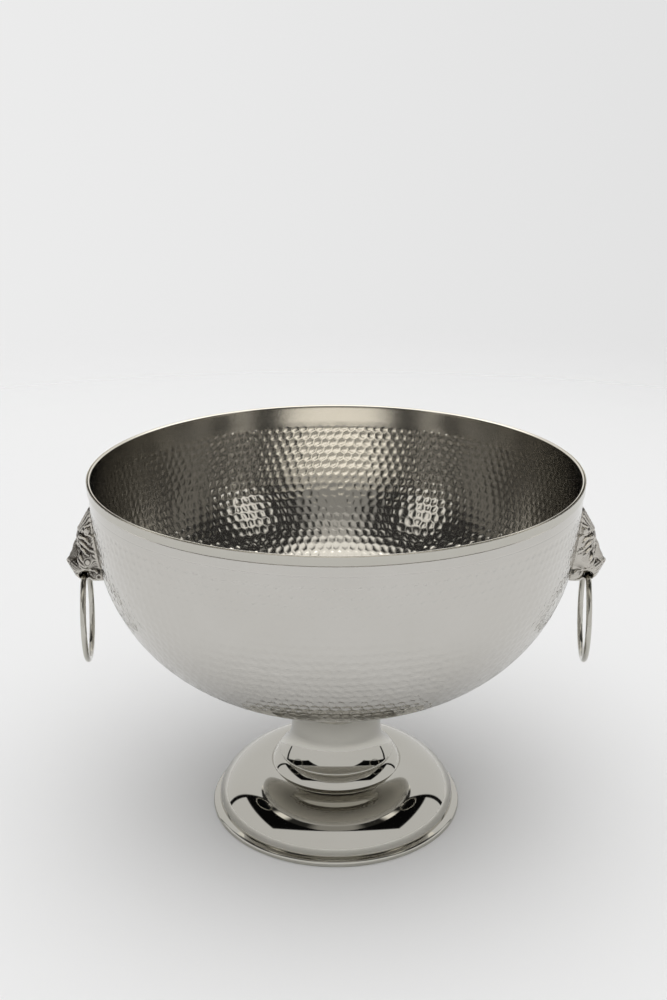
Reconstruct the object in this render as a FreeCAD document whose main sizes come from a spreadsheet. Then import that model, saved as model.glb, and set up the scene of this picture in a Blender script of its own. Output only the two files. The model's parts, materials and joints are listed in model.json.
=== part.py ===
import FreeCAD, Part
import math
import os
import Sketcher

# A footed champagne bowl: a hammered shell with an applied rim band, two cast lion masks with
# swinging ring handles, and a hollow stem and foot held up to the bowl by one threaded rod.
# Millimetres, +Z up. The origin is on the bowl's axis, in the plane that the foot stands on.
# A mask's own frame has X outward from the bowl's axis, Y across the mask and Z up.

doc = FreeCAD.newDocument("champagne_bowl")

SIZES = {
    # bowl: a flat base, a round belly and a nearly upright side, each tangent to the next
    "rim_height": 306.2,
    "rim_radius": 198.8,
    "wall": 1.8,
    "side_arc": 463.0,
    "belly_arc": 140.0,
    "base_height": 123.5,
    "band_height": 6.8,
    "band_thickness": 1.2,
    "lip_round": 0.6,
    "band_round": 0.5,
    # stem: a narrow neck that flares up to the bowl and down to the skirt ring
    "flare_radius": 55.0,
    "neck_radius": 38.6,
    "neck_top": 80.0,
    "neck_bottom": 73.5,
    "stem_edge_radius": 49.1,
    "stem_wall": 3.0,
    # skirt ring: a small tier with a bead round its top edge
    "skirt_top": 51.3,
    "skirt_bottom": 40.1,
    "skirt_radius": 56.5,
    "skirt_arc": 22.0,
    "spigot_radius": 42.8,
    "bead": 0.9,
    # foot: a dome made of a broad arc and a tighter one, on a flat ring
    "dome_radius": 102.4,
    "dome_arc": 48.0,
    "dome_edge_arc": 22.5,
    "dome_wall": 2.2,
    "foot_radius": 108.0,
    "foot_height": 6.4,
    "foot_inner_radius": 96.0,
    "foot_chamfer": 1.0,
    "foot_edge_height": 2.7,
    "foot_edge_arc": 2.9,
    "foot_slope_radius": 105.7,
    "foot_slope_height": 5.3,
    # clamp down the middle of the stem
    "boss_radius": 16.0,
    "boss_height": 10.0,
    "boss_round": 1.0,
    "rod_radius": 5.0,
    "rod_bottom": 20.0,
    "washer_thickness": 2.0,
    "washer_radius": 15.0,
    "lock_washer_radius": 9.0,
    "nut_radius": 9.8,
    "nut_height": 8.0,
    # lion masks and their screws
    "mask_turn": 5.7,
    "mask_foot": 216.4,
    "mask_height": 65.0,
    "mask_width": 40.0,
    "mask_reach": 29.0,
    "mask_plane": 192.0,
    "mouth_length": 48.0,
    "screw_radius": 1.75,
    "screw_length": 7.2,
    "screw_head_radius": 3.8,
    "screw_head_height": 2.2,
    "screw_washer_radius": 4.8,
    "screw_washer_thickness": 1.0,
    "screw_seat_gap": 0.15,
    "upper_screw": 268.0,
    "lower_screw": 251.0,
    # ring handles: the pivot is where the wire passes through the mouth
    "ring_radius": 37.5,
    "wire_radius": 2.4,
    "pivot_reach": 206.5,
    "pivot_height": 223.0,
    # gaps
    "joint_gap": 0.05,
    "slip_gap": 0.2,
    "swing_gap": 0.35,
}

sheet = doc.addObject("Spreadsheet::Sheet", "Sizes")
for row, (alias, number) in enumerate(SIZES.items(), start=1):
    sheet.set(f"A{row}", alias)
    sheet.set(f"B{row}", str(number))
    sheet.setAlias(f"B{row}", alias)
doc.recompute()


class Size:
    """A length that carries its value and the sheet expression that gives it."""

    def __init__(self, value, text):
        self.value = value
        self.text = text

    def __add__(self, other):
        other = as_size(other)
        return Size(self.value + other.value, f"({self.text} + {other.text})")

    def __sub__(self, other):
        other = as_size(other)
        return Size(self.value - other.value, f"({self.text} - {other.text})")

    def __mul__(self, other):
        other = as_size(other)
        return Size(self.value * other.value, f"({self.text} * {other.text})")

    def __truediv__(self, other):
        other = as_size(other)
        return Size(self.value / other.value, f"({self.text} / {other.text})")


def as_size(number):
    return number if isinstance(number, Size) else Size(float(number), str(float(number)))


def size(alias):
    return Size(float(sheet.get(alias)), f"Sizes.{alias}")


def other_side(longest, side):
    """The third side of a right triangle."""
    square = longest * longest - side * side
    return Size(math.sqrt(square.value), f"sqrt({square.text})")


NOTHING = as_size(0)
RIM = size("rim_height")
WALL = size("wall")
BASE = size("base_height")
STEM_WALL = size("stem_wall")
SKIRT_TOP = size("skirt_top")
SKIRT_BOTTOM = size("skirt_bottom")
FOOT_TOP = size("foot_height")
ROD = size("rod_radius")
JOINT_GAP = size("joint_gap")
SLIP_GAP = size("slip_gap")
RING = size("ring_radius")
WIRE = size("wire_radius")
PIVOT_REACH = size("pivot_reach")
PIVOT_HEIGHT = size("pivot_height")
AROUND_Z = FreeCAD.Vector(0, 0, 1)
# An arc through a half circle's ends, with just enough more radius to have a definite centre.
NEARLY_ONE = 1.001


# ---------------------------------------------------------------- sketches and bodies

def add_side(sketch, start, end, arc):
    """Draw one side of an outline: straight, or an arc given as (radius, "left" or "right"),
    the way that it turns. Return the geometry's number and its start and end point numbers."""
    first = FreeCAD.Vector(start[0].value, start[1].value, 0)
    last = FreeCAD.Vector(end[0].value, end[1].value, 0)
    if arc is None:
        return sketch.addGeometry(Part.LineSegment(first, last)), 1, 2
    radius, turn = arc
    chord = last - first
    left = FreeCAD.Vector(-chord.y, chord.x, 0).normalize()
    rise = math.sqrt(radius.value ** 2 - (chord.Length / 2) ** 2)
    centre = (first + last) / 2 + left * (rise if turn == "left" else -rise)
    if turn == "right":
        first, last = last, first
    angles = [math.atan2(point.y - centre.y, point.x - centre.x) for point in (first, last)]
    circle = Part.Circle(centre, AROUND_Z, radius.value)
    index = sketch.addGeometry(Part.ArcOfCircle(circle, *angles))
    bound = sketch.addConstraint(Sketcher.Constraint("Radius", index, radius.value))
    sketch.setExpression(f"Constraints[{bound}]", radius.text)
    return (index, 1, 2) if turn == "left" else (index, 2, 1)


def place_corner(sketch, index, point, corner):
    """Hold a corner at its distance across and up from the sketch's origin."""
    for kind, axis, length in (("DistanceX", -2, corner[0]), ("DistanceY", -1, corner[1])):
        if length is NOTHING:
            sketch.addConstraint(Sketcher.Constraint("PointOnObject", index, point, axis))
            continue
        constraint = Sketcher.Constraint(kind, -1, 1, index, point, length.value)
        bound = sketch.addConstraint(constraint)
        sketch.setExpression(f"Constraints[{bound}]", length.text)


def add_sketch(body, name, plane, corners):
    """Draw a closed outline on one of the body's own planes. A corner is (across, up), with the
    arc that leads to the next corner as a third item where that side is round."""
    sketch = body.newObject("Sketcher::SketchObject", name)
    support = [feature for feature in body.Origin.OriginFeatures if feature.Role == plane]
    sketch.AttachmentSupport = [(support[0], "")]
    sketch.MapMode = "FlatFace"
    sides = []
    for number, corner in enumerate(corners):
        following = corners[(number + 1) % len(corners)]
        arc = corner[2] if len(corner) > 2 else None
        sides.append(add_side(sketch, corner, following, arc))
    for number, (index, start, _) in enumerate(sides):
        before, _, end = sides[number - 1]
        sketch.addConstraint(Sketcher.Constraint("Coincident", before, end, index, start))
        place_corner(sketch, index, start, corners[number])
    return sketch


def turned_body(label, corners):
    """A solid of revolution about Z, from an outline of radius and height."""
    body = doc.addObject("PartDesign::Body", label)
    sketch = add_sketch(body, label + "_outline", "XZ_Plane", corners)
    turned = body.newObject("PartDesign::Revolution", label + "_turned")
    turned.Profile = sketch
    turned.ReferenceAxis = (sketch, ["V_Axis"])
    turned.Angle = 360
    doc.recompute()
    return body


def round_rims(body, places, radius):
    """Fillet the round edges at these (radius, height) places by a size from the sheet."""
    turned = body.Tip
    names = []
    for number, edge in enumerate(turned.Shape.Edges, start=1):
        if not isinstance(edge.Curve, Part.Circle):
            continue
        centre = edge.Curve.Center
        for across, up in places:
            on_axis = math.hypot(centre.x, centre.y) < 0.001
            if on_axis and abs(edge.Curve.Radius - across.value) < 0.01 and abs(centre.z - up.value) < 0.01:
                names.append(f"Edge{number}")
    assert names, "no edge to round on " + body.Name
    fillet = body.newObject("PartDesign::Fillet", body.Name + "_rims")
    fillet.Base = (turned, names)
    fillet.setExpression("Radius", size(radius).text)
    doc.recompute()


# ---------------------------------------------------------------- bowl

def bowl_profile(offset):
    """Corners of the bowl's surface, moved outward by offset: base, belly, side, up to the rim."""
    side_arc = size("side_arc")
    belly_arc = size("belly_arc")
    side_centre = size("rim_radius") - side_arc
    between = side_arc - belly_arc
    drop = RIM - BASE - belly_arc
    spread = other_side(between, drop)
    belly_centre = side_centre + spread
    side = side_arc + offset
    meeting = (side_centre + side * spread / between, RIM - side * drop / between, (side, "left"))
    base = (belly_centre, BASE - offset, (belly_arc + offset, "left"))
    rim = (size("rim_radius") + offset, RIM)
    return [base, meeting, rim]


def reversed_profile(corners):
    """The same corners from last to first, with each arc turning the other way."""
    turns = {"left": "right", "right": "left"}
    result = []
    for number in range(len(corners) - 1, -1, -1):
        corner = corners[number][:2]
        leading = corners[number - 1] if number else ()
        if len(leading) > 2:
            radius, turn = leading[2]
            corner += ((radius, turns[turn]),)
        result.append(corner)
    return result


def make_bowl(screw_holes):
    outside = bowl_profile(NOTHING)
    inside = bowl_profile(NOTHING - WALL)
    corners = [(NOTHING, BASE)] + outside + reversed_profile(inside) + [(NOTHING, BASE + WALL)]
    shell = turned_body("bowl_shell", corners)
    inner_lip = size("rim_radius") - WALL
    round_rims(shell, [(size("rim_radius"), RIM), (inner_lip, RIM)], "lip_round")
    bowl = doc.addObject("Part::Cut", "bowl")
    bowl.Base = shell
    bowl.Tool = screw_holes
    return bowl


def make_rim_band():
    inside = size("rim_radius") + JOINT_GAP
    outside = inside + size("band_thickness")
    bottom = RIM - size("band_height")
    corners = [(inside, bottom), (outside, bottom), (outside, RIM), (inside, RIM)]
    band = turned_body("rim_band", corners)
    round_rims(band, [(outside, RIM), (outside, bottom), (inside, RIM)], "band_round")
    return band


# ---------------------------------------------------------------- stem and foot

def flare(step, rise, offset):
    """An arc that leaves the neck upright and spreads by a step over a rise: its radius once the
    surface is moved inward by offset, and how far that surface has then spread."""
    radius = (step * step + rise * rise) / (step * 2)
    return radius + offset, radius - other_side(radius + offset, rise)


def stem_side(offset):
    """Corners of the stem's surface from the bottom up, moved inward by offset."""
    neck = size("neck_radius")
    low = size("neck_bottom")
    high = size("neck_top")
    foot_arc, foot_spread = flare(size("stem_edge_radius") - neck, low - SKIRT_TOP, offset)
    top_arc, top_spread = flare(size("flare_radius") - neck, BASE - high, offset)
    return [
        (neck + foot_spread, SKIRT_TOP, (foot_arc, "right")),
        (neck - offset, low),
        (neck - offset, high, (top_arc, "right")),
        (neck + top_spread, BASE),
    ]


def make_stem():
    corners = stem_side(NOTHING) + reversed_profile(stem_side(STEM_WALL))
    return turned_body("stem", corners)


def make_skirt_ring():
    """A web clamped under the stem, a bead round its edge and a flared skirt below."""
    bead = size("bead")
    edge = size("stem_edge_radius")
    web_bottom = SKIRT_TOP - STEM_WALL
    spigot = size("spigot_radius")
    spigot_top = SKIRT_TOP + STEM_WALL / 2
    skirt = size("skirt_radius")
    corners = [
        (ROD + SLIP_GAP, web_bottom),
        (edge - STEM_WALL, web_bottom),
        (skirt - STEM_WALL, SKIRT_BOTTOM),
        (skirt, SKIRT_BOTTOM, (size("skirt_arc"), "left")),
        (edge, SKIRT_TOP - bead * 2, (bead * NEARLY_ONE, "left")),
        (edge, SKIRT_TOP),
        (spigot, SKIRT_TOP),
        (spigot, spigot_top),
        (spigot - STEM_WALL, spigot_top),
        (spigot - STEM_WALL, SKIRT_TOP),
        (ROD + SLIP_GAP, SKIRT_TOP),
    ]
    return turned_body("skirt_ring", corners)


def dome_side(offset):
    """Corners of the dome's surface from the edge up to the flat top, moved inward by offset."""
    edge_arc = size("dome_edge_arc")
    top_arc = size("dome_arc")
    edge_centre = size("dome_radius") - edge_arc
    between = top_arc - edge_arc
    drop = FOOT_TOP - SKIRT_BOTTOM + top_arc
    spread = other_side(between, drop)
    top_centre = edge_centre - spread
    top = top_arc - offset
    return [
        (size("dome_radius") - offset, FOOT_TOP, (edge_arc - offset, "left")),
        (top_centre + top * spread / between, SKIRT_BOTTOM - top_arc + top * drop / between, (top, "left")),
        (top_centre, SKIRT_BOTTOM - offset),
    ]


def make_foot_dome():
    wall = size("dome_wall")
    hole = ROD + SLIP_GAP
    middle = [(hole, SKIRT_BOTTOM), (hole, SKIRT_BOTTOM - wall)]
    return turned_body("foot_dome", dome_side(NOTHING) + middle + reversed_profile(dome_side(wall)))


def make_foot_ring():
    """The flange that the foot stands on: its top slopes out to a rounded edge."""
    edge = size("foot_radius")
    chamfer = size("foot_chamfer")
    inside = size("foot_inner_radius")
    corners = [
        (inside, NOTHING),
        (edge - chamfer, NOTHING),
        (edge, chamfer),
        (edge, size("foot_edge_height"), (size("foot_edge_arc"), "left")),
        (size("foot_slope_radius"), size("foot_slope_height")),
        (size("dome_radius"), FOOT_TOP),
        (inside, FOOT_TOP),
    ]
    return turned_body("foot_ring", corners)


def make_clamp():
    """Boss under the bowl, threaded rod, and the washers and nut under the foot dome."""
    boss_bottom = BASE - size("boss_height")
    socket = ROD + JOINT_GAP
    socket_top = BASE - STEM_WALL
    boss = turned_body("bowl_boss", [
        (NOTHING, socket_top),
        (socket, socket_top),
        (socket, boss_bottom),
        (size("boss_radius"), boss_bottom),
        (size("boss_radius"), BASE),
        (NOTHING, BASE),
    ])
    rod_bottom = size("rod_bottom")
    rod_top = socket_top - SLIP_GAP
    rod = doc.addObject("Part::Cylinder", "tie_rod")
    rod.setExpression("Radius", ROD.text)
    rod.setExpression("Height", (rod_top - rod_bottom).text)
    rod.Placement.Base.z = rod_bottom.value
    round_rims(boss, [(size("boss_radius"), boss_bottom)], "boss_round")

    hole = ROD + SLIP_GAP
    seat = SKIRT_BOTTOM - size("dome_wall")
    thickness = size("washer_thickness")
    lock_top = seat - thickness
    nut_top = lock_top - thickness
    washer = flat_ring("foot_washer", hole, size("washer_radius"), lock_top, seat)
    lock = flat_ring("foot_lock_washer", hole, size("lock_washer_radius"), nut_top, lock_top)
    return [boss, rod, washer, lock, make_nut(nut_top)]


def flat_ring(label, inside, outside, bottom, top):
    corners = [(inside, bottom), (outside, bottom), (outside, top), (inside, top)]
    return turned_body(label, corners)


def make_nut(top):
    """A hexagon nut hanging from the given height, with a plain bore that stands for its thread."""
    height = size("nut_height")
    hexagon = doc.addObject("Part::Prism", "nut_hexagon")
    hexagon.Polygon = 6
    hexagon.setExpression("Circumradius", size("nut_radius").text)
    hexagon.setExpression("Height", height.text)
    bore = doc.addObject("Part::Cylinder", "nut_bore")
    bore.setExpression("Radius", (ROD + JOINT_GAP).text)
    bore.setExpression("Height", height.text)
    nut = doc.addObject("Part::Cut", "foot_nut")
    nut.Base = hexagon
    nut.Tool = bore
    nut.Placement.Base.z = (top - height).value
    return nut


# ---------------------------------------------------------------- lion masks

# Each lump of the lion's face: its centre as shares of the mask's reach, half width and height,
# and its half sizes as shares of the same three. A lump beside the middle is made on both sides.
FACE = {
    "head": ((0.08, 0.00, 0.490), (0.59, 1.00, 0.420)),
    "mane": ((0.02, 0.00, 0.800), (0.36, 0.92, 0.200)),
    "bridge": ((0.50, 0.00, 0.370), (0.36, 0.26, 0.135)),
    "muzzle": ((0.45, 0.00, 0.235), (0.52, 0.575, 0.185)),
    "nose": ((0.81, 0.00, 0.305), (0.18, 0.28, 0.06)),
    "jaw": ((0.28, 0.00, 0.092), (0.42, 0.45, 0.092)),
    "brow": ((0.50, 0.38, 0.585), (0.21, 0.35, 0.07)),
    "cheek": ((0.24, 0.58, 0.305), (0.32, 0.38, 0.17)),
    "ear": ((0.17, 0.74, 0.80), (0.16, 0.22, 0.10)),
}


def face_lump(name, centre, half_sizes):
    reach = size("mask_reach")
    half_width = size("mask_width") / 2
    height = size("mask_height")
    lump = doc.addObject("Part::Ellipsoid", name)
    lump.setExpression("Radius2", (reach * half_sizes[0]).text)
    lump.setExpression("Radius3", (half_width * half_sizes[1]).text)
    lump.setExpression("Radius1", (height * half_sizes[2]).text)
    across = (half_width * centre[1]).value
    outward = (size("mask_plane") + reach * centre[0]).value
    up = (size("mask_foot") + height * centre[2]).value
    lump.Placement.Base = FreeCAD.Vector(outward, across, up)
    return lump


def make_mouth(side):
    """The tunnel that the ring turns in: as wide at each place as the swinging wire sweeps."""
    half_length = size("mouth_length") / 2
    arc = RING - WIRE - size("swing_gap")
    throat = RING - arc
    mouth_radius = RING - other_side(arc, half_length)
    body = doc.addObject("PartDesign::Body", "mouth_" + side)
    sketch = add_sketch(body, "mouth_outline_" + side, "XZ_Plane", [
        (NOTHING, NOTHING - half_length),
        (mouth_radius, NOTHING - half_length, (arc, "right")),
        (throat, NOTHING, (arc, "right")),
        (mouth_radius, half_length),
        (NOTHING, half_length),
    ])
    tunnel = body.newObject("PartDesign::Revolution", "mouth_turned_" + side)
    tunnel.Profile = sketch
    tunnel.ReferenceAxis = (sketch, ["V_Axis"])
    tunnel.Angle = 360
    across = FreeCAD.Rotation(FreeCAD.Vector(1, 0, 0), 90)
    body.Placement = FreeCAD.Placement(pivot_point(), across)
    return body


def pivot_point():
    return FreeCAD.Vector(PIVOT_REACH.value, 0, PIVOT_HEIGHT.value)


def make_mask(side, turn, seat, screw_tools):
    """A cast lion's head: rounded lumps fused, then cut to the bowl's side, mouth and screws."""
    lumps = []
    for name, (centre, half_sizes) in FACE.items():
        lumps.append(face_lump(f"{name}_{side}", centre, half_sizes))
        if centre[1]:
            mirrored = (centre[0], -centre[1], centre[2])
            lumps.append(face_lump(f"{name}_far_{side}", mirrored, half_sizes))
    head = doc.addObject("Part::MultiFuse", "lion_head_" + side)
    head.Shapes = lumps
    tools = doc.addObject("Part::MultiFuse", "mask_cuts_" + side)
    tools.Shapes = [seat, make_mouth(side)] + screw_tools
    mask = doc.addObject("Part::Cut", "lion_mask_" + side)
    mask.Base = head
    mask.Tool = tools
    mask.Placement.Rotation = turn
    return mask


def make_ring(side, turn):
    ring = doc.addObject("Part::Torus", "ring_handle_" + side)
    ring.setExpression("Radius1", RING.text)
    ring.setExpression("Radius2", WIRE.text)
    hang = FreeCAD.Placement(pivot_point(), FreeCAD.Rotation(FreeCAD.Vector(0, 1, 0), 90))
    hang.Base.z -= RING.value
    ring.Placement = FreeCAD.Placement(FreeCAD.Vector(), turn).multiply(hang)
    return ring


# ---------------------------------------------------------------- mask screws

def through_wall(height):
    """Placement on the bowl's inner surface at a height, with Z along the wall's normal, outward."""
    side_arc = size("side_arc").value
    dip = math.asin((RIM - height).value / side_arc)
    distance = side_arc - WALL.value
    centre = size("rim_radius").value - side_arc
    outward = FreeCAD.Vector(math.cos(dip), 0, -math.sin(dip))
    place = FreeCAD.Vector(centre, 0, RIM.value) + outward * distance
    return FreeCAD.Placement(place, FreeCAD.Rotation(AROUND_Z, outward))


def wall_cylinder(name, height, radius, depth):
    """A cylinder along the wall's normal, from just inside the bowl to a depth past the inner face."""
    tool = doc.addObject("Part::Cylinder", name)
    start = WALL * 3
    tool.setExpression("Radius", radius.text)
    tool.setExpression("Height", (start + depth).text)
    back = FreeCAD.Placement(FreeCAD.Vector(0, 0, -start.value), FreeCAD.Rotation())
    tool.Placement = through_wall(height).multiply(back)
    return tool


def screw_rows():
    return {"upper": size("upper_screw"), "lower": size("lower_screw")}


def make_screws(side, turn):
    """Dome-headed screws and their washers, each pair a group of two solids."""
    shank = size("screw_radius")
    tip = size("screw_length")
    head = size("screw_head_radius")
    head_height = size("screw_head_height")
    washer_seat = NOTHING - size("screw_seat_gap")
    head_seat = washer_seat - size("screw_washer_thickness")
    groups = {"screws": [], "washers": []}
    for row, height in screw_rows().items():
        place = FreeCAD.Placement(FreeCAD.Vector(), turn).multiply(through_wall(height))
        dome = (head * head + head_height * head_height) / (head_height * 2)
        screw = turned_body(f"{row}_screw_{side}", [
            (NOTHING, head_seat - head_height, (dome, "left")),
            (head, head_seat),
            (shank, head_seat),
            (shank, tip),
            (NOTHING, tip),
        ])
        washer_edge = size("screw_washer_radius")
        washer = flat_ring(f"{row}_washer_{side}", shank + SLIP_GAP, washer_edge, head_seat, washer_seat)
        screw.Placement = place
        washer.Placement = place
        groups["screws"].append(screw)
        groups["washers"].append(washer)
    nodes = []
    for kind, members in groups.items():
        group = doc.addObject("Part::Compound", f"mask_{kind}_{side}")
        group.Links = members
        nodes.append(group)
    return nodes


def screw_holes_for(side):
    """Blind holes in one mask, in the mask's own frame."""
    radius = size("screw_radius") + JOINT_GAP
    depth = size("screw_length") + SLIP_GAP
    tools = []
    for row, height in screw_rows().items():
        tools.append(wall_cylinder(f"{row}_mask_hole_{side}", height, radius, depth))
    return tools


def bowl_screw_holes(turns):
    """Clearance holes through the bowl's wall for all the mask screws."""
    tools = []
    for side, turn in turns.items():
        for row, height in screw_rows().items():
            radius = size("screw_radius") + SLIP_GAP
            tool = wall_cylinder(f"{row}_bowl_hole_{side}", height, radius, WALL * 4)
            tool.Placement = FreeCAD.Placement(FreeCAD.Vector(), turn).multiply(tool.Placement)
            tools.append(tool)
    holes = doc.addObject("Part::MultiFuse", "screw_holes")
    holes.Shapes = tools
    return holes


# ---------------------------------------------------------------- assembly

def mask_turns():
    """Both masks sit a little forward, towards -Y, of the bowl's left to right diameter."""
    forward = size("mask_turn").value
    return {
        "right": FreeCAD.Rotation(AROUND_Z, -forward),
        "left": FreeCAD.Rotation(AROUND_Z, 180 + forward),
    }


turns = mask_turns()
nodes = [make_bowl(bowl_screw_holes(turns)), make_rim_band(), make_stem(), make_skirt_ring()]
nodes += [make_foot_dome(), make_foot_ring()]
nodes += make_clamp()
for side, turn in turns.items():
    seat_profile = bowl_profile(JOINT_GAP)
    seat = turned_body("mask_seat_" + side, [(NOTHING, BASE - JOINT_GAP)] + seat_profile + [(NOTHING, RIM)])
    nodes.append(make_mask(side, turn, seat, screw_holes_for(side)))
    nodes.append(make_ring(side, turn))
    nodes += make_screws(side, turn)
doc.recompute()

for item in doc.Objects:
    bad = {"Invalid", "Error"} & set(item.State)
    assert not bad, f"{item.Name} is {bad}"
for node in nodes:
    assert not node.Shape.isNull() and node.Shape.isValid(), node.Label + " has a bad shape"

os.makedirs("parts", exist_ok=True)
for node in nodes:
    node.Shape.exportStep(f"parts/{node.Label}.step")
    print(f"{node.Label}: {len(node.Shape.Solids)} solid(s), {node.Shape.Volume / 1000:.2f} cm3")
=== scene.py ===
import json
import math
import random

import bpy
import numpy as np
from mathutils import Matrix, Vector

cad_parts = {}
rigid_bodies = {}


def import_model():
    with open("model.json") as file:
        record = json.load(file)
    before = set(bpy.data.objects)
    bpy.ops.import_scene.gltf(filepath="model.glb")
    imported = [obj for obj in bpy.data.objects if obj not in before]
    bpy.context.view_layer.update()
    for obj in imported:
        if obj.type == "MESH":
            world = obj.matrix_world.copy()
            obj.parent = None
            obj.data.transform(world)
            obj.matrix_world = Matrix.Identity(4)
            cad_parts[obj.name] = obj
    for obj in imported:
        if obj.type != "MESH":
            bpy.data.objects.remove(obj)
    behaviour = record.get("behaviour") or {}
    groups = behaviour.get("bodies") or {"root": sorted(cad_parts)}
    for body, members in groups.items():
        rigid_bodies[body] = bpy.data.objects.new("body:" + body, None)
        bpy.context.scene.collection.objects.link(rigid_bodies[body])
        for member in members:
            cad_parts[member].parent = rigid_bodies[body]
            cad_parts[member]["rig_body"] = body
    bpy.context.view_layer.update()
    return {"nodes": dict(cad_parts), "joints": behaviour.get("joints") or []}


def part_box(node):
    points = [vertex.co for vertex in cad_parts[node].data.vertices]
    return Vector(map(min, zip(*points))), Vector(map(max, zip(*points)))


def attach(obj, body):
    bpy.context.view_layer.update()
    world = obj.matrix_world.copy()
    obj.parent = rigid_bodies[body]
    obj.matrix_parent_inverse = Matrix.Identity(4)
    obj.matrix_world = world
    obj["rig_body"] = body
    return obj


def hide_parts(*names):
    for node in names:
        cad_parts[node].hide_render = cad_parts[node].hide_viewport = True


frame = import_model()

# A footed champagne bowl in a plain studio. Lengths are in millimetres until to_scene() makes a
# mesh, which is in metres like the frame. A mask's own frame has X outward from the bowl's axis,
# Y across the mask and Z up.

MM = 0.001
CHANCE = random.Random(7)

# Bowl: two arcs over a flat base, hammered below a plain band.
WALL = 1.8
SIDE_ARC = 463.0
BELLY_ARC = 140.0
LIP_INNER_ROUND = 1.2
LIP_OUTER_ROUND = 0.5
PLAIN_BAND = 18.5
BLOW_PITCH = 7.9
ROW_PITCH_TOP = 7.0
ROW_PITCH_LOW = 7.8
INSIDE_BULGE = 0.46
OUTSIDE_HOLLOW = 0.60
SEAM = (7.3, 0.35)
SCRIBED_LINE = (15.0, 0.05)

# Foot: the curves that the frame's boxes don't give.
STEM_WALL = 3.0
NECK_RADIUS = 38.6
NECK_TOP = 80.0
NECK_BOTTOM = 73.5
SKIRT_FLARE = 7.4
SKIRT_ARC = 22.0
SPIGOT_RADIUS = 42.8
BEAD = 0.9
DOME_ARC = 48.0
DOME_EDGE_ARC = 22.5
DOME_WALL = 2.2
ROD_HOLE = 5.2
FOOT_EDGE_ARC = 2.9
FOOT_STEP = (105.7, 5.3)
FOOT_RING_OVERLAP = 6.4

# Lion masks and ring handles.
WIRE = 2.4
SWING_GAP = 0.35
MASK_WIDTH = 40.0
CHIN_SLOPE = 0.3


def node_box(name):
    """A CAD node's lowest and highest corners in millimetres."""
    low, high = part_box(name)
    return np.array(low) / MM, np.array(high) / MM


RIM_RADIUS = node_box("bowl")[1][0]
RIM_HEIGHT = node_box("bowl")[1][2]
BASE_HEIGHT = node_box("bowl")[0][2]


# ---------------------------------------------------------------- pieces

def to_scene(name, points, faces, node, material, sharp_angle=35):
    """A smooth mesh piece that stands for a CAD node and moves with that node's body."""
    mesh = bpy.data.meshes.new(name)
    mesh.from_pydata([tuple(point) for point in np.asarray(points) * MM], [], faces)
    mesh.validate()
    for polygon in mesh.polygons:
        polygon.use_smooth = True
    mesh.set_sharp_from_angle(angle=math.radians(sharp_angle))
    mesh.materials.append(material)
    piece = bpy.data.objects.new(name, mesh)
    bpy.context.scene.collection.objects.link(piece)
    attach(piece, frame["nodes"][node]["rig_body"])
    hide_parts(node)
    return piece


def arc_points(start, end, radius, turn, step=3.0):
    """Points after start along an arc to end, which is left out. Turn is 1 for left, -1 for right."""
    start = np.array(start, float)
    end = np.array(end, float)
    chord = end - start
    length = np.hypot(*chord)
    left = np.array([-chord[1], chord[0]]) / length
    centre = (start + end) / 2 + left * turn * math.sqrt(radius ** 2 - (length / 2) ** 2)
    first = math.atan2(*(start - centre)[::-1])
    sweep = turn * 2 * math.asin(length / 2 / radius)
    count = max(2, math.ceil(abs(math.degrees(sweep)) / step))
    angles = [first + sweep * number / count for number in range(1, count)]
    return [tuple(centre + radius * np.array([math.cos(a), math.sin(a)])) for a in angles]


def trace(corners):
    """A closed outline of (radius, height) points, from corners that may carry (arc radius, turn)."""
    points = []
    for number, corner in enumerate(corners):
        points.append(corner[:2])
        if len(corner) > 2:
            following = corners[(number + 1) % len(corners)]
            points += arc_points(corner[:2], following[:2], *corner[2])
    return points


def lathe(name, outline, node, material, segments=256, bevel=0.3):
    """A solid turned about Z from a closed outline, with its sharp edges slightly rounded."""
    outline = np.array(outline)
    angles = np.arange(segments) * 2 * math.pi / segments
    points = np.stack([
        outline[:, 0][None, :] * np.cos(angles)[:, None],
        outline[:, 0][None, :] * np.sin(angles)[:, None],
        np.repeat(outline[:, 1][None, :], segments, axis=0),
    ], axis=2).reshape(-1, 3)
    count = len(outline)
    faces = []
    for turn in range(segments):
        here = turn * count
        there = (turn + 1) % segments * count
        for side in range(count):
            after = (side + 1) % count
            faces.append((here + side, there + side, there + after, here + after))
    piece = to_scene(name, points, faces, node, material, sharp_angle=60)
    if bevel:
        rounding = piece.modifiers.new("edge_rounding", "BEVEL")
        rounding.width = bevel * MM
        rounding.segments = 3
        rounding.limit_method = "ANGLE"
        rounding.angle_limit = math.radians(25)
    return piece


# ---------------------------------------------------------------- bowl

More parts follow.
